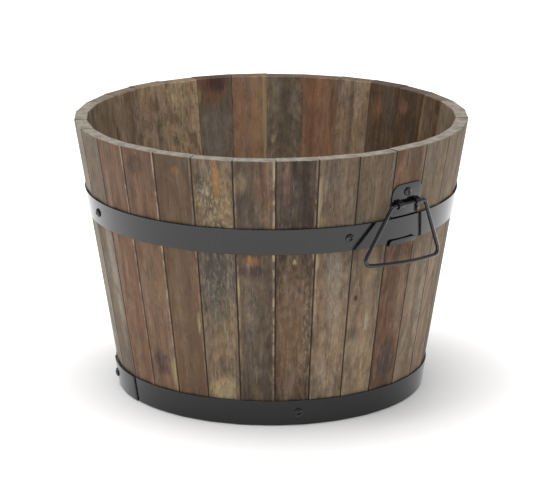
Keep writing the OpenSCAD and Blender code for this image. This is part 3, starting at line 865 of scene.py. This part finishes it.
def hoop_radius(z, layers=1.0):
    """Radius of a hoop's surface at height z, over a number of layers of the strip."""
    return FOOT_CORNER + CORNER_TAPER * z + HOOP_CLEAR + layers * HOOP_SPAN


print("outer radius of the hoops, mm:", [round(hoop_radius(low) * 1000, 1) for low, _, _ in HOOPS.values()])


# %% One hoop, spun round the tub's axis
def bent_hoop(name, low, first_screw, lap_at):
    middle = low + HOOP_WIDTH / 2
    turn_per_metre = 1 / hoop_radius(low)
    step_end = math.radians(first_screw + lap_at * 360 / SCREWS_ROUND) - LAP_SCREW * turn_per_metre
    start = step_end + HOOP_THICK * turn_per_metre
    step_turn = 2 * HOOP_THICK * turn_per_metre
    around = 2 * math.pi - (start - step_end) - step_turn
    fresh()
    bpy.ops.mesh.primitive_plane_add(
        size=1, location=(hoop_radius(middle, 0.5), 0, middle), rotation=(math.radians(90), CORNER_TILT, 0)
    )
    bpy.context.object.scale = (HOOP_THICK, HOOP_WIDTH / math.cos(CORNER_TILT) - END_PLAY, 1)
    piece = open_piece(name)
    bpy.ops.object.mode_set(mode="OBJECT")
    piece.rotation_euler = (0, 0, start)
    bpy.ops.object.transform_apply(location=False, rotation=True, scale=False)
    bpy.ops.object.mode_set(mode="EDIT")
    bpy.ops.mesh.select_all(action="SELECT")
    sweep(STEPS_ROUND, around)
    sweep(1, step_turn)
    outward = (hoop_radius(middle, 1.5) + HOOP_CLEAR) / hoop_radius(middle, 0.5)
    stretch((outward, outward, 1))
    sweep(STEPS_LAP, LAP_LENGTH * turn_per_metre)
    face_outwards()
    tail = step_end + LAP_LENGTH * turn_per_metre
    out = hoop_radius(middle, 2)
    tail_edge = Vector((math.cos(tail) * out, math.sin(tail) * out, middle))
    print(name, "tail edges rounded:", pick("edges", lambda c: (c - tail_edge).length < HOOP_THICK / 2))
    bpy.ops.mesh.bevel(offset=TAIL_ROUND, segments=4, affect="EDGES")
    close_piece()
    round_edges(piece, HOOP_ARRIS, 50)
    return piece


hoops = {name: bent_hoop(name + "_strip", *sizes) for name, sizes in HOOPS.items()}
for name, piece in hoops.items():
    stands_for(piece, name, "tub", paint)

# %% [markdown]
# ## The screws
#
# Pan-head screws with a cross recess, as sold for outdoor work, painted over with the hoops. The
# head is a low drum whose top is drawn in ring by ring to a dome, and the recess is cut with two
# tapered bars. One screw is modelled and copied to each place.

# %% Screw sizes
HEAD_RADIUS = 0.0055
HEAD_HEIGHT = 0.0032
DOME_HEIGHT = 0.6 * HEAD_HEIGHT
DOME_RADIUS = (HEAD_RADIUS**2 + DOME_HEIGHT**2) / (2 * DOME_HEIGHT)
DOME_RINGS = (0.96, 0.88, 0.76, 0.6, 0.4, 0.15)
SHANK_RADIUS = 0.002
SCREW_LENGTH = 0.013
CROSS_LENGTH = 0.0070
CROSS_WIDTH = 0.0018
CROSS_DEPTH = 0.0021
CROSS_ABOVE = 0.001
CROSS_TURN = math.radians(20)
print("radius of the dome's curve, mm:", round(DOME_RADIUS * 1000, 1))


# %% One pan-head screw, its seat at z = 0
def extrude(step):
    bpy.ops.mesh.extrude_region_move(TRANSFORM_OT_translate={"value": step})


def recess_bar(turn):
    """One tapered bar of the cross that is cut out of a head."""
    fresh()
    bottom = HEAD_HEIGHT - CROSS_DEPTH
    middle = HEAD_HEIGHT - CROSS_DEPTH / 2 + CROSS_ABOVE / 2
    bpy.ops.mesh.primitive_cube_add(size=1, location=(0, 0, middle))
    bpy.context.object.scale = (CROSS_LENGTH, CROSS_WIDTH, CROSS_DEPTH + CROSS_ABOVE)
    bar = open_piece("recess_bar")
    pick("faces", lambda c: c.z < bottom + 10 * TINY)
    stretch((0.45, 0.6, 1), (0, 0, bottom))
    bpy.ops.object.mode_set(mode="OBJECT")
    bar.rotation_euler = (0, 0, turn)
    bpy.ops.object.transform_apply(rotation=True)
    return bar


def pan_screw():
    fresh()
    wall = HEAD_HEIGHT - DOME_HEIGHT
    middle = (0, 0, wall / 2)
    bpy.ops.mesh.primitive_cylinder_add(vertices=32, radius=HEAD_RADIUS, depth=wall, location=middle)
    piece = open_piece("pan_screw")
    pick("faces", lambda c: c.z > wall - TINY)
    radius = HEAD_RADIUS
    for share in DOME_RINGS:
        wanted = HEAD_RADIUS * share
        rise = math.sqrt(DOME_RADIUS**2 - wanted**2) - math.sqrt(DOME_RADIUS**2 - radius**2)
        extrude((0, 0, rise))
        stretch((wanted / radius, wanted / radius, 1))
        radius = wanted
    pick("faces", lambda c: c.z < TINY)
    bpy.ops.mesh.inset(thickness=HEAD_RADIUS - SHANK_RADIUS, depth=0)
    extrude((0, 0, -SCREW_LENGTH + 2 * SHANK_RADIUS))
    extrude((0, 0, -2 * SHANK_RADIUS))
    stretch((0.25, 0.25, 1), (0, 0, -SCREW_LENGTH))
    close_piece()
    for turn in (0.0, math.pi / 2):
        bar = recess_bar(turn + CROSS_TURN)
        finish_with(piece, "BOOLEAN", object=bar, operation="DIFFERENCE", solver="EXACT")
        bpy.data.objects.remove(bar)
    return piece


model_screw = pan_screw()
print("pan screw triangles:", triangles(model_screw))


# %% Copies and joins
def copy_of(piece, name, matrix):
    """Copies a piece with its mesh; the place goes into the mesh, and the object stays at the origin."""
    twin = piece.copy()
    twin.data = piece.data.copy()
    twin.name = name
    bpy.context.scene.collection.objects.link(twin)
    hold_only(twin)
    twin.matrix_world = matrix
    bpy.ops.object.transform_apply(location=True, rotation=True, scale=True)
    return twin


def join_pieces(pieces, name):
    fresh()
    for piece in pieces:
        piece.select_set(True)
    bpy.context.view_layer.objects.active = pieces[0]
    bpy.ops.object.join()
    joined = bpy.context.object
    joined.name = name
    return joined


# %% The screws of both hoops, each stopped at its own turn
def on_hoop(angle, z, lift):
    """Frame whose z points out of a hoop's surface, at a direction round the tub and a height."""
    return (
        Matrix.Rotation(angle, 4, "Z")
        @ Matrix.Translation((hoop_radius(z), 0, z))
        @ Matrix.Rotation(math.radians(90) + CORNER_TILT, 4, "Y")
        @ Matrix.Translation((0, 0, lift))
    )


for name, (low, first, lap_at) in HOOPS.items():
    row = []
    for k in range(SCREWS_ROUND):
        lift = HOOP_THICK + HOOP_CLEAR if k == lap_at else 0.0
        angle = math.radians(first + k * 360 / SCREWS_ROUND)
        seat = on_hoop(angle, low + HOOP_WIDTH / 2, lift) @ Matrix.Rotation(1.7 * k + low * 10, 4, "Z")
        row.append(copy_of(model_screw, f"{name}_screw_{k}", seat))
    stands_for(join_pieces(row, name + "_pan_screws"), name + "_screws", "tub", screw_paint)

# %% [markdown]
# ## Dark strips in the joints
#
# The staves stand a hair apart, and without something in the gap, daylight shines through
# wherever a joint lines up with the eye. Each joint gets a dark strip that stands in for the shade
# of a tight joint, a painted shade, a hundredth of a millimetre short of either stave: a plane
# drawn on the joint and pulled out to a thin slab, left open at the height of the groove, where
# the base's edge passes.

# %% One dark strip of painted joint shade, in two lengths
GROOVE_LOW, GROOVE_HIGH = 0.0295, 0.0390
SHADE_STRIP_THICK = 0.00028
SHADE_STRIP_SUNK_OUTSIDE = 0.0013
SHADE_STRIP_SUNK_INSIDE = 0.0004
SHADE_STRIP_FOOT = 0.001
SHADE_STRIP_BELOW_RIM = 0.0035


def joint_strip(name, low, high):
    fresh()
    middle = (0, 0, (low + high) / 2)
    bpy.ops.mesh.primitive_plane_add(size=1, location=middle, rotation=(math.radians(90), 0, 0))
    bpy.context.object.scale = (1, high - low, 1)
    piece = open_piece(name)
    for z in (low, high):
        outer = FOOT_CORNER + CORNER_TAPER * z - SHADE_STRIP_SUNK_OUTSIDE
        wall = FACE_FOOT + FACE_TAPER * z - STAVE_THICK - 0.0002
        inner = wall / math.cos(HALF_STEP) + SHADE_STRIP_SUNK_INSIDE
        for start, reach in ((0.5, outer), (-0.5, inner)):
            pick("verts", lambda c: abs(c.x - start) < TINY and abs(c.z - z) < TINY)
            bpy.ops.transform.translate(value=(reach - start, 0, 0))
    close_piece()
    finish_with(piece, "SOLIDIFY", thickness=SHADE_STRIP_THICK, offset=0)
    return piece


model_strips = [
    joint_strip("joint_low", SHADE_STRIP_FOOT, GROOVE_LOW),
    joint_strip("joint_high", GROOVE_HIGH, TUB_HEIGHT - SHADE_STRIP_BELOW_RIM),
]
print("joint strips, mm high:", [round(strip.dimensions.z * 1000, 1) for strip in model_strips])


# %% The strips of all joints, as one piece
def joint_shade_finish():
    material, r = new_material("painted_joint_shade")
    # Near-black brown: a dark sheet standing in for the shade in a tight joint, painted shade.
    dark_noise = r.noise(r.place(), 500.0, 3.0, 0.6)
    r.surface({"Base Color": r.mix(dark_noise, hue("#1f1813"), hue("#3c3128")), "Roughness": 0.95})
    return material


strips = []
for i in range(STAVES):
    turned = Matrix.Rotation((2 * i + 1) * HALF_STEP, 4, "Z")
    strips += [copy_of(strip, f"{strip.name}_{i}", turned) for strip in model_strips]
joint_shade_strips = join_pieces(strips, "joint_shade_strips")
joint_shade_strips.data.materials.clear()
joint_shade_strips.data.materials.append(joint_shade_finish())
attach(joint_shade_strips, "tub")
for strip in model_strips:
    bpy.data.objects.remove(strip)
print("joint strips, triangles:", triangles(joint_shade_strips))

# %% [markdown]
# ## The handle brackets
#
# Each bracket is pressed from one sheet. A plate with round corners lies on the stave, steps in
# behind the middle hoop, and comes out below as a hook that grips the hoop's edge. The leaf bows
# out at its top to lie against the hoop, which is round where the stave is flat. Two strips
# are rolled into eyes for the wire. The sheet is drawn as a thin skin, folded edge by edge, its
# bends are rounded, and Solidify gives it the sheet's thickness at the end.

# %% Bracket sizes, in the stave face's own frame: x out of the face, z up along it
HINGE_HEIGHT = 0.280
FACE_TILT = math.atan(FACE_TAPER)
SHEET = 0.0016
PLATE_WIDTH = 0.051
PLATE_TOP = 0.025
PLATE_ROUND = 0.012
LEAF_WIDTH = 0.046
LEAF_CLEAR = 0.0001
LEAF_BOW = 0.0013
LEAF_COLUMNS = 8
HOOK_CLEAR = 0.00035
STEP_ABOVE_HOOP = 0.0009
STEP_RISE = 0.0018
LIP_RISE = 0.0055
STEP_BEND, HOOK_BEND = 0.0006, 0.0011
LIP_ROUND = 0.0045
SHEET_ARRIS, EYE_ARRIS = 0.0003, 0.00025
WIRE = 0.005
WIRE_OFF_PLATE = 0.0019
HINGE_OFF = SHEET + WIRE_OFF_PLATE + WIRE / 2
PLATE_SCREW = 0.0145
HANDLES = (("front", 0.0), ("rear", math.pi))


def along_face(z):
    """A height above the floor, measured along the stave's face from the hinge."""
    return (z - HINGE_HEIGHT) / math.cos(FACE_TILT)


STEP_LOW = along_face(MIDDLE_HOOP + HOOP_WIDTH) + STEP_ABOVE_HOOP
STEP_HIGH = STEP_LOW + STEP_RISE
HOOK_LOW = along_face(MIDDLE_HOOP) - HOOK_CLEAR - SHEET / 2
LIP_TOP = along_face(MIDDLE_HOOP) + LIP_RISE
HOOP_OFF_FACE = (FOOT_CORNER + CORNER_TAPER * MIDDLE_HOOP) * (1 - math.cos(HALF_STEP))
LIP_OUT = HOOP_OFF_FACE + HOOP_CLEAR + HOOP_SPAN + HOOK_CLEAR + SHEET / 2
SHOULDER = (PLATE_WIDTH - LEAF_WIDTH) / 2
print("leaf below the hinge, mm:", round(STEP_HIGH * 1000, 1), "to", round(HOOK_LOW * 1000, 1))


# %% The folded sheet
def bow_leaf():
    """Splits the leaf into columns and pushes its top edge out in an arch, most in the middle."""
    half = LEAF_COLUMNS // 2
    columns = [(k, k * LEAF_WIDTH / LEAF_COLUMNS) for k in range(1 - half, half)]
    for k, across in columns:
        pick("faces", lambda c: HOOK_LOW + TINY < c.z < STEP_HIGH and c.x < SHEET / 2)
        bpy.ops.mesh.bisect(plane_co=(0, across, 0), plane_no=(0, 1, 0))
    for k, across in columns:
        pick("verts", lambda c: abs(c.y - across) < TINY and abs(c.z - STEP_LOW) < TINY)
        bpy.ops.transform.translate(value=(LEAF_BOW * (1 - (k / half) ** 2), 0, 0))


def thicken(piece, arris):
    """Gives a folded skin the sheet's thickness and takes its sharp edges off."""
    finish_with(piece, "SOLIDIFY", thickness=SHEET, offset=0, use_even_offset=True)
    round_edges(piece, arris, 55)
    return piece


def folded_sheet():
    fresh()
    plate_foot = STEP_HIGH + SHOULDER
    bpy.ops.mesh.primitive_plane_add(
        size=1, location=(SHEET / 2, 0, (PLATE_TOP + plate_foot) / 2), rotation=(0, math.radians(90), 0)
    )
    bpy.context.object.scale = (PLATE_TOP - plate_foot, PLATE_WIDTH, 1)
    piece = open_piece("folded_sheet")
    pick("edges", lambda c: c.z < plate_foot + TINY)
    extrude((0, 0, STEP_HIGH - plate_foot))
    stretch((1, LEAF_WIDTH / PLATE_WIDTH, 1))
    extrude((-SHEET - LEAF_CLEAR, 0, STEP_LOW - STEP_HIGH))
    extrude((0, 0, HOOK_LOW - STEP_LOW))
    extrude((LIP_OUT + SHEET / 2 + LEAF_CLEAR, 0, 0))
    extrude((0, 0, LIP_TOP - HOOK_LOW))
    bow_leaf()
    pick("edges", lambda c: abs(c.z - STEP_LOW) < TINY or abs(c.z - STEP_HIGH) < TINY)
    bpy.ops.mesh.bevel(offset=STEP_BEND, segments=3, affect="EDGES")
    pick("edges", lambda c: abs(c.z - HOOK_LOW) < TINY and (c.x < -LEAF_CLEAR or c.x > LIP_OUT - TINY))
    bpy.ops.mesh.bevel(offset=HOOK_BEND, segments=4, affect="EDGES")
    pick("verts", lambda c: c.z > PLATE_TOP - TINY)
    bpy.ops.mesh.bevel(offset=PLATE_ROUND, segments=9, affect="VERTICES")
    pick("verts", lambda c: c.x > LIP_OUT - TINY and c.z > LIP_TOP - TINY)
    bpy.ops.mesh.bevel(offset=LIP_ROUND, segments=6, affect="VERTICES")
    close_piece()
    return thicken(piece, SHEET_ARRIS)


sheet = folded_sheet()
print("folded sheet, mm:", [round(d * 1000, 2) for d in sheet.dimensions])

# %% The rolled eyes
EYE_AT = 0.015
EYE_WIDTH = 0.009
EYE_CLEAR = 0.00025
EYE_ROLL = math.radians(318)


def rolled_eye(y):
    """A strip that leaves the plate and rolls down round the wire, just short of closing."""
    fresh()
    roll = WIRE / 2 + EYE_CLEAR + SHEET / 2
    bpy.ops.mesh.primitive_plane_add(size=1, location=((SHEET + HINGE_OFF) / 2, y, roll))
    bpy.context.object.scale = (HINGE_OFF - SHEET, EYE_WIDTH, 1)
    piece = open_piece("rolled_eye")
    pick("edges", lambda c: c.x > HINGE_OFF - TINY)
    sweep(26, EYE_ROLL, (HINGE_OFF, y, 0), (0, 1, 0))
    close_piece()
    return thicken(piece, EYE_ARRIS)


model_bracket = join_pieces([sheet, rolled_eye(EYE_AT), rolled_eye(-EYE_AT)], "model_bracket")
print("one bracket with its eyes, triangles:", triangles(model_bracket))


# %% Both brackets and their screws
def on_face(angle):
    """Frame of the stave face behind a handle."""
    return (
        Matrix.Rotation(angle, 4, "Z")
        @ Matrix.Translation((FACE_FOOT + FACE_TAPER * HINGE_HEIGHT, 0, HINGE_HEIGHT))
        @ Matrix.Rotation(FACE_TILT, 4, "Y")
    )


for side, angle in HANDLES:
    bracket = copy_of(model_bracket, side + "_handle_bracket", on_face(angle))
    stands_for(bracket, side + "_bracket", "tub", paint)
on_plate = Matrix.Translation((SHEET, 0, PLATE_SCREW)) @ Matrix.Rotation(math.radians(90), 4, "Y")
pair = []
for k, (side, angle) in enumerate(HANDLES):
    seat = on_face(angle) @ on_plate @ Matrix.Rotation(0.5 + k, 4, "Z")
    pair.append(copy_of(model_screw, f"bracket_screw_{k}", seat))
stands_for(join_pieces(pair, "bracket_pan_screws"), "bracket_screws", "tub", screw_paint)
bpy.data.objects.remove(model_bracket)
bpy.data.objects.remove(model_screw)

# %% [markdown]
# ## The wire handles
#
# The handle is one round wire, bent by hand: a straight bar in the eyes, two legs that spread,
# and a bottom bar that bows out to follow the tub. A line of edges is drawn through its corners,
# each corner is rounded with a vertex bevel, and the line becomes a curve with a round section.

# %% Corners of the wire, in the handle's own frame: y across, z up, x out
BAIL_TOP = 0.057
BAIL_BOTTOM = 0.136
BAIL_DROP = 0.072
BAIL_BOW = 0.0088
BOW_STEPS = 5
TOP_ROUND, BOW_ROUND, FOOT_ROUND = 0.0036, 0.009, 0.013
BAIL_SKEW = math.radians(4)
BAIL_LEAN = math.radians(5)
JOIN_AT = 0.015
WIRE_GAP = 0.0004

upright = Matrix.Rotation(-BAIL_SKEW, 3, "X")
shares = [k / BOW_STEPS for k in range(BOW_STEPS + 1)]
bow = [
    upright @ Vector((BAIL_BOW * (1 - (2 * t - 1) ** 2), BAIL_BOTTOM * (0.5 - t), -BAIL_DROP))
    for t in shares
]
top_corners = [Vector((0, BAIL_TOP / 2, 0)), Vector((0, -BAIL_TOP / 2, 0))]
wire_ends = [Vector((0, JOIN_AT + WIRE_GAP / 2, 0)), Vector((0, JOIN_AT - WIRE_GAP / 2, 0))]
print("lowest corners of the wire, mm:", [round(bow[k].z * 1000, 1) for k in (0, -1)])


# %% The bent wire, and both handles
def bent_wire():
    fresh()
    bpy.ops.mesh.primitive_plane_add(size=WIRE)
    open_piece("bent_wire")
    bpy.ops.mesh.select_all(action="SELECT")
    bpy.ops.mesh.merge(type="CENTER")
    here = wire_ends[0]
    bpy.ops.transform.translate(value=here)
    for stop in [top_corners[0], *bow, top_corners[1], wire_ends[1]]:
        extrude(stop - here)
        here = stop
    for corners, size, steps in (
        (top_corners, TOP_ROUND, 8),
        (bow[1:-1], BOW_ROUND, 3),
        (bow[::BOW_STEPS], FOOT_ROUND, 10),
    ):
        pick("verts", lambda c: min((c - corner).length for corner in corners) < TINY)
        bpy.ops.mesh.bevel(offset=size, segments=steps, affect="VERTICES")
    bpy.ops.object.mode_set(mode="OBJECT")
    bpy.ops.object.convert(target="CURVE")
    line = bpy.context.object.data
    line.bevel_depth = WIRE / 2
    line.bevel_resolution = 5
    line.use_fill_caps = True
    bpy.ops.object.convert(target="MESH")
    bpy.ops.object.mode_set(mode="EDIT")
    close_piece(50)
    return bpy.context.object


model_bail = bent_wire()
print("wire handle, mm:", [round(d * 1000, 1) for d in model_bail.dimensions])
hang = Matrix.Translation((HINGE_OFF, 0, 0)) @ Matrix.Rotation(BAIL_LEAN - FACE_TILT, 4, "Y")
for side, angle in HANDLES:
    wire = copy_of(model_bail, side + "_wire_handle", on_face(angle) @ hang)
    stands_for(wire, side + "_bail", side + "_handle", wire_paint)
bpy.data.objects.remove(model_bail)

# %% [markdown]
# ## The studio
#
# A product picture is taken on a white sweep of paper under one large, soft light, so that the
# shadow is faint and the background goes white. Here a floor takes the paper's place: it glows a
# little, more so away from the tub, which whitens the picture's edges and keeps a soft shadow at
# the foot. The glossy hoops mirror that pale floor, and that is what draws their shape.


# %% The paper's finish
def paper_finish():
    material, r = new_material("studio_white")
    place = r.place()
    x, y, z = r.parts(place)
    glow = r.spread(r.reach(x, y), 0.2, 1.1, 0.16, 0.7)
    r.surface({
        "Base Color": r.mix(r.noise(place, 60.0), hue("#ededed"), hue("#f0f0f0")), "Roughness": 0.9,
        "Emission Color": (1, 1, 1, 1), "Emission Strength": glow,
    })
    return material


paper = paper_finish()
print("nodes of the paper:", len(paper.node_tree.nodes))

# %% Floor, surroundings and light
FLOOR_SIZE = 14
ROOM_GLOW = 0.55
LIGHT_PLACE = (-0.12, -0.15, 2.7)
LIGHT_AIM = (0, 0, 0.2)
LIGHT_SIZE = 1.9
LIGHT_WATTS = 78

fresh()
bpy.ops.mesh.primitive_plane_add(size=FLOOR_SIZE, location=(0, 0, 0))
floor = bpy.context.object
floor.name = "studio_floor"
floor.data.materials.append(paper)

world = bpy.data.worlds.new("studio")
world.use_nodes = True
background = world.node_tree.nodes["Background"].inputs
background["Color"].default_value = (1, 1, 1, 1)
background["Strength"].default_value = ROOM_GLOW
bpy.context.scene.world = world

light = bpy.data.lights.new("overhead", "AREA")
light.shape = "RECTANGLE"
light.size = LIGHT_SIZE
light.size_y = LIGHT_SIZE
light.energy = LIGHT_WATTS
lamp = bpy.data.objects.new("overhead", light)
lamp.location = LIGHT_PLACE
lamp.rotation_euler = (Vector(LIGHT_PLACE) - Vector(LIGHT_AIM)).to_track_quat("Z", "Y").to_euler()
bpy.context.scene.collection.objects.link(lamp)
print("light, watts:", light.energy, "at", [round(c, 2) for c in lamp.location])
